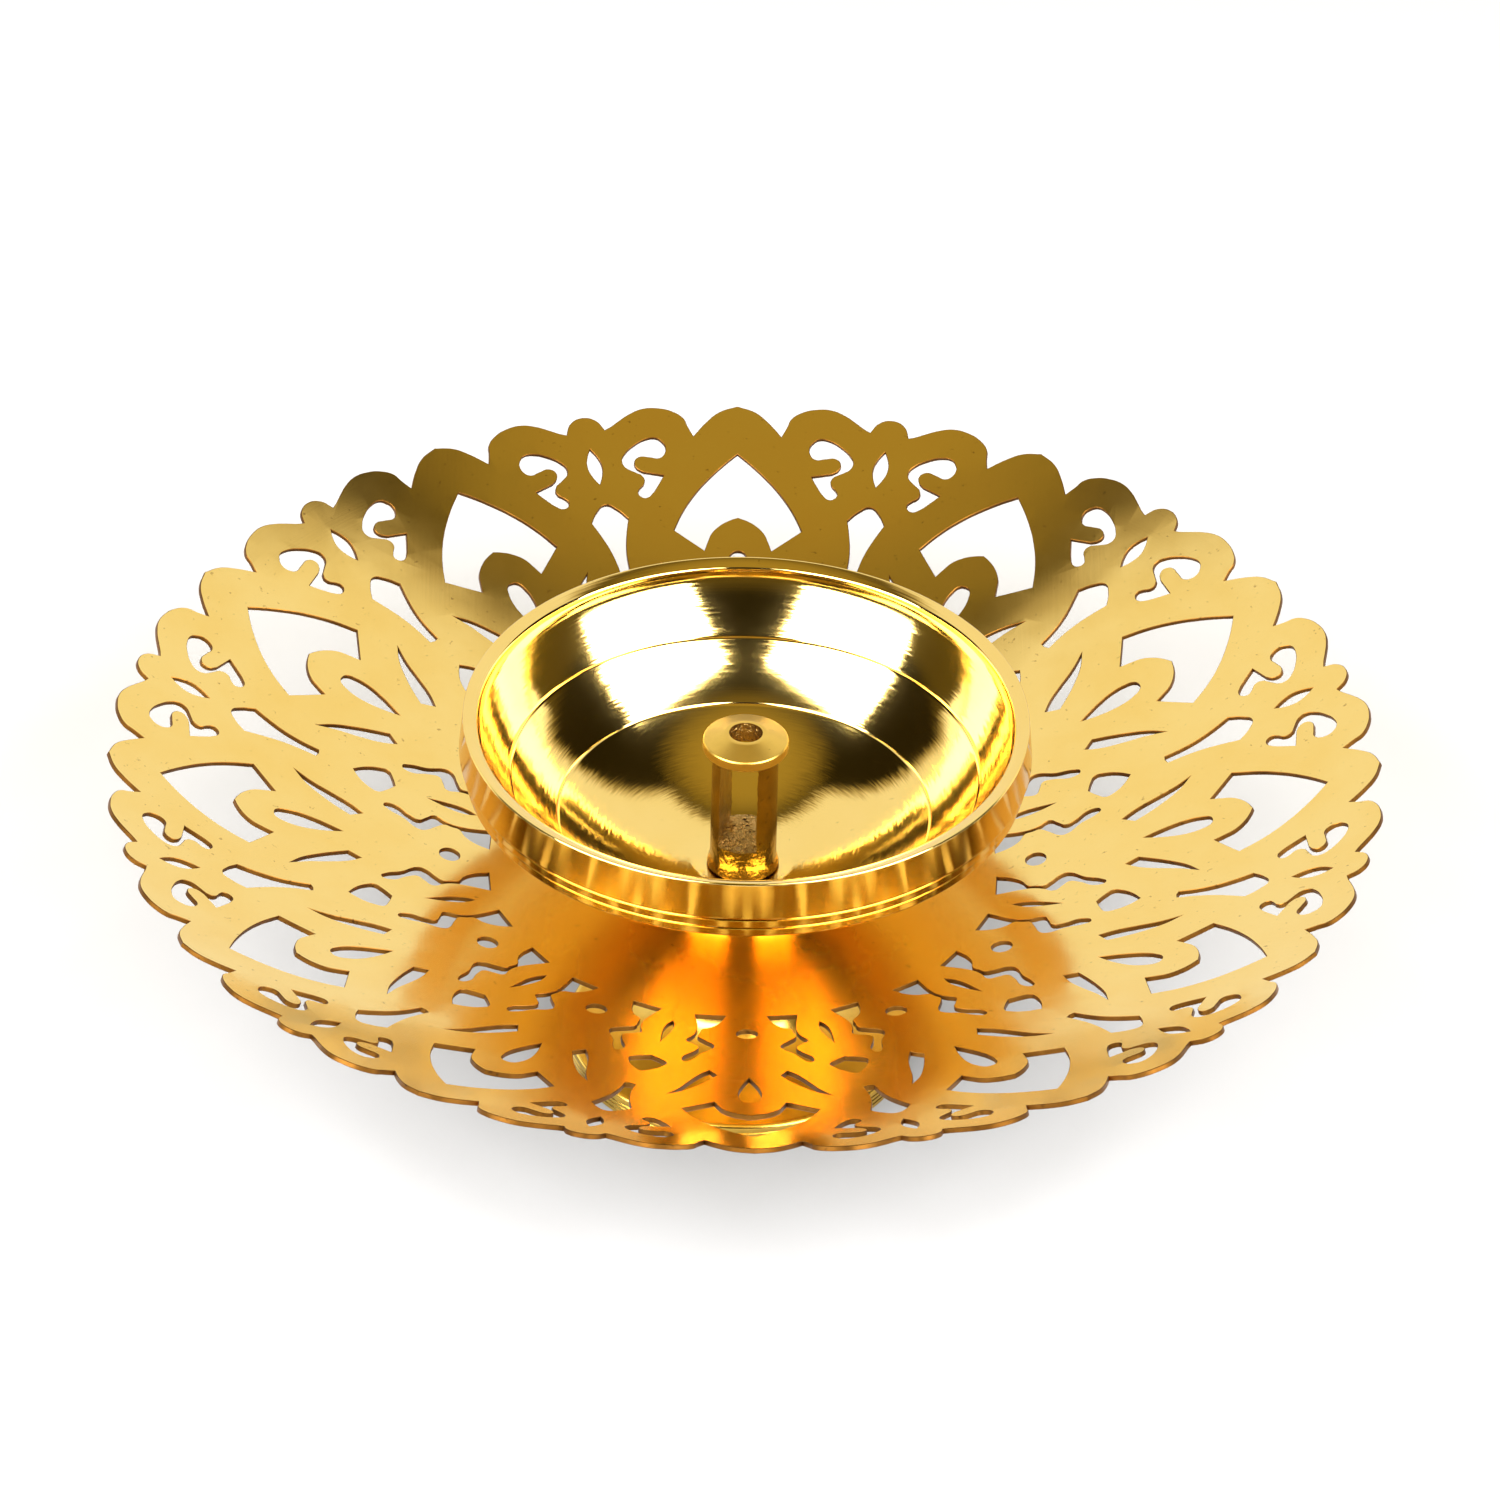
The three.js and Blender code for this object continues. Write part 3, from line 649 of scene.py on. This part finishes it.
def oil_bowl():
    depth = BOWL_WALL_TOP - BOWL_FLOOR
    rise = (BOWL_INNER_RADIUS ** 2 + depth ** 2 - POST_SEAT_RADIUS ** 2) / (2 * depth)
    inside = math.hypot(rise, POST_SEAT_RADIUS)
    outside = inside + BOWL_WALL
    centre_z = BOWL_FLOOR + rise
    steps_foot = BAND_FOOT - 2 * STEP_HEIGHT
    shell_top = math.sqrt(outside ** 2 - (centre_z - steps_foot) ** 2)
    stud = [(0, STUD_TIP), (STUD_RADIUS, STUD_TIP), (STUD_RADIUS, BOSS_SEAT)]
    shell = arc(centre_z, outside, BOSS_RADIUS + NECK_FILLET, shell_top, SHELL_PIECES)
    neck_start = (BOSS_RADIUS, BOSS_SEAT + NECK_START)
    neck = bend(neck_start, arc_point(centre_z, outside, BOSS_RADIUS), shell[0], NECK_PIECES)[:-1]
    rim, rim_corners = rim_profile()
    socket_floor = BOWL_FLOOR - SOCKET_DEPTH
    socket = [(SOCKET_RADIUS, BOWL_FLOOR), (SOCKET_RADIUS, socket_floor), (0, socket_floor)]
    below_rim = stud + [(BOSS_RADIUS, BOSS_SEAT)] + neck + shell
    eased = [(1, 0.5), (3, 0.3)] + [(len(below_rim) + i, size) for i, size in rim_corners]
    bm = turned(below_rim + rim + engraved_inside(centre_z, inside) + socket, 256, eased=eased)
    middle_of_wall = (inside + outside) / 2
    for face in bm.faces:
        x, y, z = face.calc_center_median()
        if z < steps_foot and math.hypot(x, y, z - centre_z) > middle_of_wall:
            face.material_index = 1
        # The band's deeper orange colour is a painted reflection of brass.
        elif steps_foot <= z < TURNED_BAND_TOP and math.hypot(x, y) > TURNED_BAND_INSIDE:
            face.material_index = 2
    return finish_piece("turned_bowl", bm, "lamp_body", "oil_bowl",
                        [polished_brass(), underside_brass(), band_brass()])


# ---------------------------------------------------------------- wick post

GRAIN_SEED = 5
GRAIN_CELLS = 28  # along each side of the block that cuts the slot
GRAIN = ((1.9, 0.10), (0.55, 0.12))  # lumps per mm, and how far they push the surface
SLOT_MARGIN = 0.4  # a face of the slot lies no further than this past the slot's ends
SLOT_SKIN = 0.12  # and at least this far inside the post's radius


def slot_cutter():
    """A block as wide as the slot with the grain of a sand mould on its faces."""
    noise.seed_set(GRAIN_SEED)
    bm = bmesh.new()
    bmesh.ops.create_cube(bm, size=1)
    bmesh.ops.subdivide_edges(bm, edges=bm.edges, cuts=GRAIN_CELLS - 1, use_grid_fill=True)
    bmesh.ops.scale(bm, vec=(SLOT_WIDTH, 4 * CAP_RADIUS, SLOT_TOP - SLOT_BOTTOM), verts=bm.verts)
    for vert in bm.verts:
        push = Vector()
        for lumps_per_mm, depth in GRAIN:
            push += noise.noise_vector(vert.co * lumps_per_mm) * depth
        vert.co += push
    bmesh.ops.rotate(bm, cent=(0, 0, 0), matrix=Matrix.Rotation(-SLOT_TURN, 3, "Z"), verts=bm.verts)
    bmesh.ops.translate(bm, vec=(0, 0, (SLOT_BOTTOM + SLOT_TOP) / 2), verts=bm.verts)
    return bm


def cut_away(bm, cutters):
    """Takes each cutter's solid out of bm."""
    scene_objects = bpy.context.scene.collection.objects
    holders = []
    for i, part in enumerate([bm, *cutters]):
        mesh = bpy.data.meshes.new("cutting_%d" % i)
        part.to_mesh(mesh)
        part.free()
        holders.append(bpy.data.objects.new("cutting_%d" % i, mesh))
        scene_objects.link(holders[-1])
    for cutter in holders[1:]:
        cut = holders[0].modifiers.new("cut", "BOOLEAN")
        cut.operation = "DIFFERENCE"
        cut.solver = "EXACT"
        cut.object = cutter
    bpy.context.view_layer.update()
    result = bpy.data.meshes.new_from_object(holders[0].evaluated_get(bpy.context.evaluated_depsgraph_get()))
    for holder in holders:
        bpy.data.objects.remove(holder)
    left = bmesh.new()
    left.from_mesh(result)
    bpy.data.meshes.remove(result)
    return left


def wick_post():
    flare_foot, flare_middle = POST_RADIUS + 0.45, POST_RADIUS + 0.3
    flare_middle_height, flare_height = POST_SEAT + 0.7, POST_SEAT + 1.9
    collar_height, collar_radius = CAP_UNDERSIDE - 0.5, POST_RADIUS + 0.35
    spigot_tip = POST_SEAT - SPIGOT_LENGTH
    profile = [
        (0, spigot_tip), (SPIGOT_RADIUS, spigot_tip), (SPIGOT_RADIUS, POST_SEAT),
        (flare_foot, POST_SEAT), (flare_middle, flare_middle_height), (POST_RADIUS, flare_height),
        (POST_RADIUS - 0.05, collar_height), (collar_radius, CAP_UNDERSIDE), (CAP_RADIUS, CAP_UNDERSIDE),
        (CAP_RADIUS, CAP_EDGE_TOP), (WICK_HOLE_RADIUS + 0.55, CAP_TOP), (0, CAP_TOP),
    ]
    eased = [(3, 0.15), (4, 0.5), (5, 0.5), (6, 0.3), (8, 0.25), (9, 0.3), (10, 0.2)]
    body = turned(profile, 96, eased=eased)
    bore = bmesh.new()
    past_slot_top = 4
    depth = CAP_TOP - SLOT_TOP + 2 * past_slot_top
    bmesh.ops.create_cone(bore, cap_ends=True, segments=64, radius1=WICK_HOLE_RADIUS,
                          radius2=WICK_HOLE_RADIUS, depth=depth, matrix=Matrix.Translation((0, 0, CAP_TOP)))
    bm = cut_away(body, [slot_cutter(), bore])
    for face in bm.faces:
        middle = face.calc_center_median()
        from_axis = math.hypot(middle.x, middle.y)
        in_slot = (SLOT_BOTTOM - SLOT_MARGIN < middle.z < SLOT_TOP + SLOT_MARGIN
                   and from_axis < POST_RADIUS - SLOT_SKIN)
        in_bore = middle.z > SLOT_TOP and from_axis < WICK_HOLE_RADIUS + 0.02
        if in_slot or in_bore:
            face.material_index = 1
        # The post's sides keep the darker cast material, painted shade below the brighter cap.
        elif middle.z > CAP_UNDERSIDE + 0.01:
            face.material_index = 2
    return finish_piece("slotted_post", bm, "wick_holder", "wick_post",
                        [cast_brass(), slot_brass(), cap_brass()], sharp=38)


# ---------------------------------------------------------------- foot, washer and nut

FOOT_WALL = 2.4
FOOT_BAND_HEIGHT = 3.0
FOOT_GROOVES = (0.95, 1.75, 2.5)
FOOT_GROOVE = 0.16  # depth, and half the width, of each groove round the band
SHOULDER = 4.0
SHOULDER_IN = 1.2
FLARE_RISE = 1.0  # how much the curve of the flare leans upwards as it leaves the shoulder
WAIST_RADIUS = 9.6
WAIST_FOOT = 15.3
COLLAR_FOOT = 18.3
COLLAR_TOP = 20.9
COLLAR_BULGE = 2.8
FOOT_BORE = 7.2
PAD_RADIUS = 15.5
PAD_EDGE_FOOT = FOOT_HEIGHT - 2.4
PAD_UNDERSIDE = FOOT_HEIGHT - 3.0


def pedestal_foot():
    flare, inner = FOOT_RADIUS - SHOULDER_IN, FOOT_RADIUS - FOOT_WALL
    profile = [(inner, 0), (FOOT_RADIUS, 0)]
    for groove in FOOT_GROOVES:
        profile += [(FOOT_RADIUS, groove - FOOT_GROOVE), (FOOT_RADIUS - FOOT_GROOVE, groove),
                    (FOOT_RADIUS, groove + FOOT_GROOVE)]
    profile += [(FOOT_RADIUS, FOOT_BAND_HEIGHT)]
    profile += bend((FOOT_RADIUS, FOOT_BAND_HEIGHT), (FOOT_RADIUS, SHOULDER), (flare, SHOULDER), 8)
    profile += bend((flare, SHOULDER), (WAIST_RADIUS, SHOULDER + FLARE_RISE), (WAIST_RADIUS, WAIST_FOOT), 28)
    profile += [(WAIST_RADIUS, COLLAR_FOOT)]
    collar_peak = (WAIST_RADIUS + COLLAR_BULGE, (COLLAR_FOOT + COLLAR_TOP) / 2)
    profile += bend((WAIST_RADIUS, COLLAR_FOOT), collar_peak, (WAIST_RADIUS, COLLAR_TOP), 10)
    profile += bend((WAIST_RADIUS, COLLAR_TOP), (WAIST_RADIUS, PAD_EDGE_FOOT), (PAD_RADIUS, PAD_EDGE_FOOT),
                    14)
    profile += [(PAD_RADIUS, FOOT_HEIGHT), (STUD_HOLE_RADIUS, FOOT_HEIGHT),
                (STUD_HOLE_RADIUS, PAD_UNDERSIDE), (FOOT_BORE, PAD_UNDERSIDE), (FOOT_BORE, WAIST_FOOT)]
    profile += bend((FOOT_BORE, WAIST_FOOT), (FOOT_BORE, FOOT_BAND_HEIGHT), (inner, SHOULDER - FOOT_WALL),
                    18)
    pad_top = profile.index((PAD_RADIUS, FOOT_HEIGHT))
    eased = [(0, 0.2), (1, 0.25), (pad_top, 0.35), (pad_top - 1, 0.3)]
    bm = turned(profile, 192, closed=True, eased=eased)
    return finish_piece("turned_foot", bm, "lamp_body", "pedestal_foot", [turned_brass()])


def clamp_washer(steel):
    underside, rounding = WASHER_TOP - WASHER_THICKNESS, 0.12
    profile = [(STUD_HOLE_RADIUS, underside), (WASHER_RADIUS, underside), (WASHER_RADIUS, WASHER_TOP),
               (STUD_HOLE_RADIUS, WASHER_TOP)]
    bm = turned(profile, 96, closed=True, eased=[(i, rounding) for i in range(len(profile))])
    return finish_piece("steel_washer", bm, "lamp_body", "clamp_washer", [steel])


def clamp_nut(steel):
    """A hexagon nut with its corners turned down to a cone at both ends."""
    corner = NUT_ACROSS_FLATS / math.sqrt(3)
    middle = NUT_TOP - NUT_HEIGHT / 2
    flats_front = Matrix.Translation((0, 0, middle)) @ Matrix.Rotation(math.pi / 6, 4, "Z")
    bm = bmesh.new()
    bmesh.ops.create_cone(bm, cap_ends=True, segments=6, radius1=corner, radius2=corner, depth=NUT_HEIGHT,
                          matrix=flats_front)
    bore = bmesh.new()
    bmesh.ops.create_cone(bore, cap_ends=True, segments=64, radius1=STUD_HOLE_RADIUS,
                          radius2=STUD_HOLE_RADIUS, depth=4 * NUT_HEIGHT,
                          matrix=Matrix.Translation((0, 0, NUT_TOP)))
    # The ring that shaves the corners is clear of the hexagon's ends by a hair.
    top, bottom = NUT_TOP + 0.01, NUT_TOP - NUT_HEIGHT - 0.01
    face_radius, cone_radius, cone_height = corner - 0.55, corner + 0.25, 0.6
    shave = turned([(face_radius, bottom - 1), (corner + 2, bottom - 1), (corner + 2, top + 1),
                    (face_radius, top + 1), (face_radius, top), (cone_radius, top - cone_height),
                    (cone_radius, bottom + cone_height), (face_radius, bottom)], 64, closed=True)
    bm = cut_away(bm, [bore, shave])
    return finish_piece("steel_nut", bm, "lamp_body", "clamp_nut", [steel])


# ---------------------------------------------------------------- studio

SOFTBOX_SIDES = (("softbox_left", -50), ("softbox_right", 48))  # degrees to the right of straight in front
SOFTBOX_HEIGHT = 34.5  # degrees above the lamp
SOFTBOX_AIM = (0, 0, 0.06)
SOFTBOX_DISTANCE = 1.0
SOFTBOX_SIZE = (0.92, 0.80)
SOFTBOX_RADIANCE = 14.0
FLOOR_HALF_WIDTH = 4

# What the metal sees of the room. Each fade is (along, low, high, value at low, value at high). It runs
# along the height, 1 straight above, or along backness, 1 straight behind the lamp and -1 in front of it.
ROOM_FADES = {
    "ceiling": ("height", 0.84, 0.98, 0.02, 0.42),
    "sweep_top": ("height", 0.82, 0.90, 1.0, 0.0),
    "sweep_narrows": ("height", 0.15, 0.75, 0.0, 0.18),
    "strip_front_edge": ("backness", 0.26, 0.32, 0.0, 1.0),
    "strip_back_edge": ("backness", 0.56, 0.66, 1.0, 0.0),
    "strip_strength": ("height", 0.20, 0.36, 2.0, 0.0),
    "front_glow": ("height", 0.28, 0.42, 0.10, 0.0),
}
SWEEP_EDGE = (0.34, 0.50)  # backness over which the white sweep comes in
SWEEP_STRENGTH = 1.05
FLOOR_FILL = 0.4  # even light that only the matt floor gets, because the lamp's shadow would be too dark


def softboxes():
    """Two large soft lights beside the camera, which the bowl shows as two bright windows."""
    height = math.radians(SOFTBOX_HEIGHT)
    for name, bearing_degrees in SOFTBOX_SIDES:
        light = bpy.data.lights.new(name, "AREA")
        light.shape = "RECTANGLE"
        light.size, light.size_y = SOFTBOX_SIZE
        light.energy = SOFTBOX_RADIANCE * math.pi * light.size * light.size_y
        holder = bpy.data.objects.new(name, light)
        bpy.context.scene.collection.objects.link(holder)
        bearing_angle = math.radians(bearing_degrees)
        direction = Vector((math.sin(bearing_angle) * math.cos(height),
                            -math.cos(bearing_angle) * math.cos(height), math.sin(height)))
        holder.location = Vector(SOFTBOX_AIM) + SOFTBOX_DISTANCE * direction
        holder.rotation_euler = direction.to_track_quat("Z", "Y").to_euler()
        holder.visible_camera = False


def studio_world():
    """White to the camera. The metal sees a white sweep behind, a dim ceiling and a dark room in front."""
    world = bpy.data.worlds.new("studio")
    bpy.context.scene.world = world
    world.use_nodes = True
    tree = world.node_tree
    tree.nodes.clear()
    towards = node(tree, "ShaderNodeTexCoord").outputs["Generated"]
    flat = node(tree, "ShaderNodeVectorMath", {0: towards, 1: (1, 1, 0)}, operation="MULTIPLY").outputs[0]
    level = node(tree, "ShaderNodeVectorMath", {0: flat}, operation="NORMALIZE").outputs[0]
    runs = {"height": node(tree, "ShaderNodeSeparateXYZ", {0: towards}).outputs["Z"],
            "backness": node(tree, "ShaderNodeSeparateXYZ", {0: level}).outputs["Y"]}
    fades = {}
    for name, (run, low, high, at_low, at_high) in ROOM_FADES.items():
        fades[name] = node(tree, "ShaderNodeMapRange",
                           {"Value": runs[run], "From Min": low, "From Max": high,
                            "To Min": at_low, "To Max": at_high},
                           interpolation_type="SMOOTHSTEP").outputs["Result"]
    narrowed = node(tree, "ShaderNodeMath", {0: runs["backness"], 1: fades["sweep_narrows"]},
                    operation="SUBTRACT").outputs[0]
    sweep_side = node(tree, "ShaderNodeMapRange",
                      {"Value": narrowed, "From Min": SWEEP_EDGE[0], "From Max": SWEEP_EDGE[1]},
                      interpolation_type="SMOOTHSTEP").outputs["Result"]
    path = node(tree, "ShaderNodeLightPath").outputs
    products = []
    for a, b in ((sweep_side, fades["sweep_top"]), (fades["strip_front_edge"], fades["strip_back_edge"]),
                 (path["Is Diffuse Ray"], FLOOR_FILL)):
        products.append(node(tree, "ShaderNodeMath", {0: a, 1: b}, operation="MULTIPLY").outputs[0])
    sweep_share, strip_share, fill = products
    sweep = node(tree, "ShaderNodeMath", {0: sweep_share, 1: SWEEP_STRENGTH},
                 operation="MULTIPLY").outputs[0]
    strip = node(tree, "ShaderNodeMath", {0: strip_share, 1: fades["strip_strength"]},
                 operation="MULTIPLY").outputs[0]
    total = fades["ceiling"]
    for light in (sweep, strip, fades["front_glow"]):
        total = node(tree, "ShaderNodeMath", {0: total, 1: light}, operation="MAXIMUM").outputs[0]
    filled = node(tree, "ShaderNodeMath", {0: total, 1: fill}, operation="ADD").outputs[0]
    seen = path["Is Camera Ray"]
    strength = node(tree, "ShaderNodeMix", {0: seen, 2: filled, 3: 1.0}, data_type="FLOAT").outputs[0]
    # The sweep and the strip are white, and so is what the camera sees. The rest of the room is warm.
    white_share = seen
    for share in (sweep_share, strip):
        white_share = node(tree, "ShaderNodeMath", {0: white_share, 1: share},
                           operation="MAXIMUM").outputs[0]
    colour = node(tree, "ShaderNodeMix", {0: white_share, 6: linear("#ffe076"), 7: linear("#ffffff")},
                  data_type="RGBA").outputs[2]
    sky = node(tree, "ShaderNodeBackground", {"Color": colour, "Strength": strength})
    node(tree, "ShaderNodeOutputWorld", {"Surface": sky.outputs[0]})


def pale_floor():
    """Plain white paper sweep: matt, without a highlight."""
    material, tree = new_material("paper_floor_matt")
    shader = node(tree, "ShaderNodeBsdfPrincipled",
                  {"Base Color": linear("#aeaeb0"), "Roughness": 0.9, "Specular IOR Level": 0.1})
    node(tree, "ShaderNodeOutputMaterial", {"Surface": shader.outputs[0]})
    bm = bmesh.new()
    bmesh.ops.create_grid(bm, x_segments=1, y_segments=1, size=FLOOR_HALF_WIDTH)
    mesh = bpy.data.meshes.new("floor")
    bm.to_mesh(mesh)
    bm.free()
    mesh.materials.append(material)
    floor = bpy.data.objects.new("floor", mesh)
    bpy.context.scene.collection.objects.link(floor)


CAMERA_LENS = 222.1
CAMERA_SENSOR = 36
CAMERA_HEIGHT = 35.52  # degrees above the lamp
CAMERA_TURN = 1.62  # degrees that the camera looks to the right of the petal's axis
CAMERA_ROLL = 1.43
CAMERA_DISTANCE = 1.4497
CAMERA_CENTRE = (0, 0, 0.056)  # the point of the lamp that the distance is from
CAMERA_SHIFT = (-0.00072, -0.00097)  # how far right and up that point shows from the picture's middle


def camera():
    height, turn, roll = (math.radians(a) for a in (CAMERA_HEIGHT, CAMERA_TURN, CAMERA_ROLL))
    ahead = Vector((math.sin(turn) * math.cos(height), math.cos(turn) * math.cos(height), -math.sin(height)))
    right = Vector((math.cos(turn), -math.sin(turn), 0))
    up = right.cross(ahead)
    rolled_right = math.cos(roll) * right + math.sin(roll) * up
    rolled_up = math.cos(roll) * up - math.sin(roll) * right
    data = bpy.data.cameras.new("camera")
    data.sensor_width = CAMERA_SENSOR
    data.lens = CAMERA_LENS
    data.clip_start = 0.05
    holder = bpy.data.objects.new("camera", data)
    bpy.context.scene.collection.objects.link(holder)
    place = Vector(CAMERA_CENTRE) - ahead * CAMERA_DISTANCE
    place -= rolled_right * CAMERA_SHIFT[0] + rolled_up * CAMERA_SHIFT[1]
    matrix = Matrix((rolled_right, rolled_up, -ahead)).transposed().to_4x4()
    matrix.translation = place
    holder.matrix_world = matrix
    bpy.context.scene.camera = holder


jali_plate()
oil_bowl()
wick_post()
pedestal_foot()
zinc_plated = plated_steel()
clamp_washer(zinc_plated)
clamp_nut(zinc_plated)
pale_floor()
softboxes()
studio_world()
camera()
bpy.context.scene.view_settings.view_transform = "Standard"
bpy.context.scene.cycles.caustics_reflective = False  # a neutral floor, as under even studio light
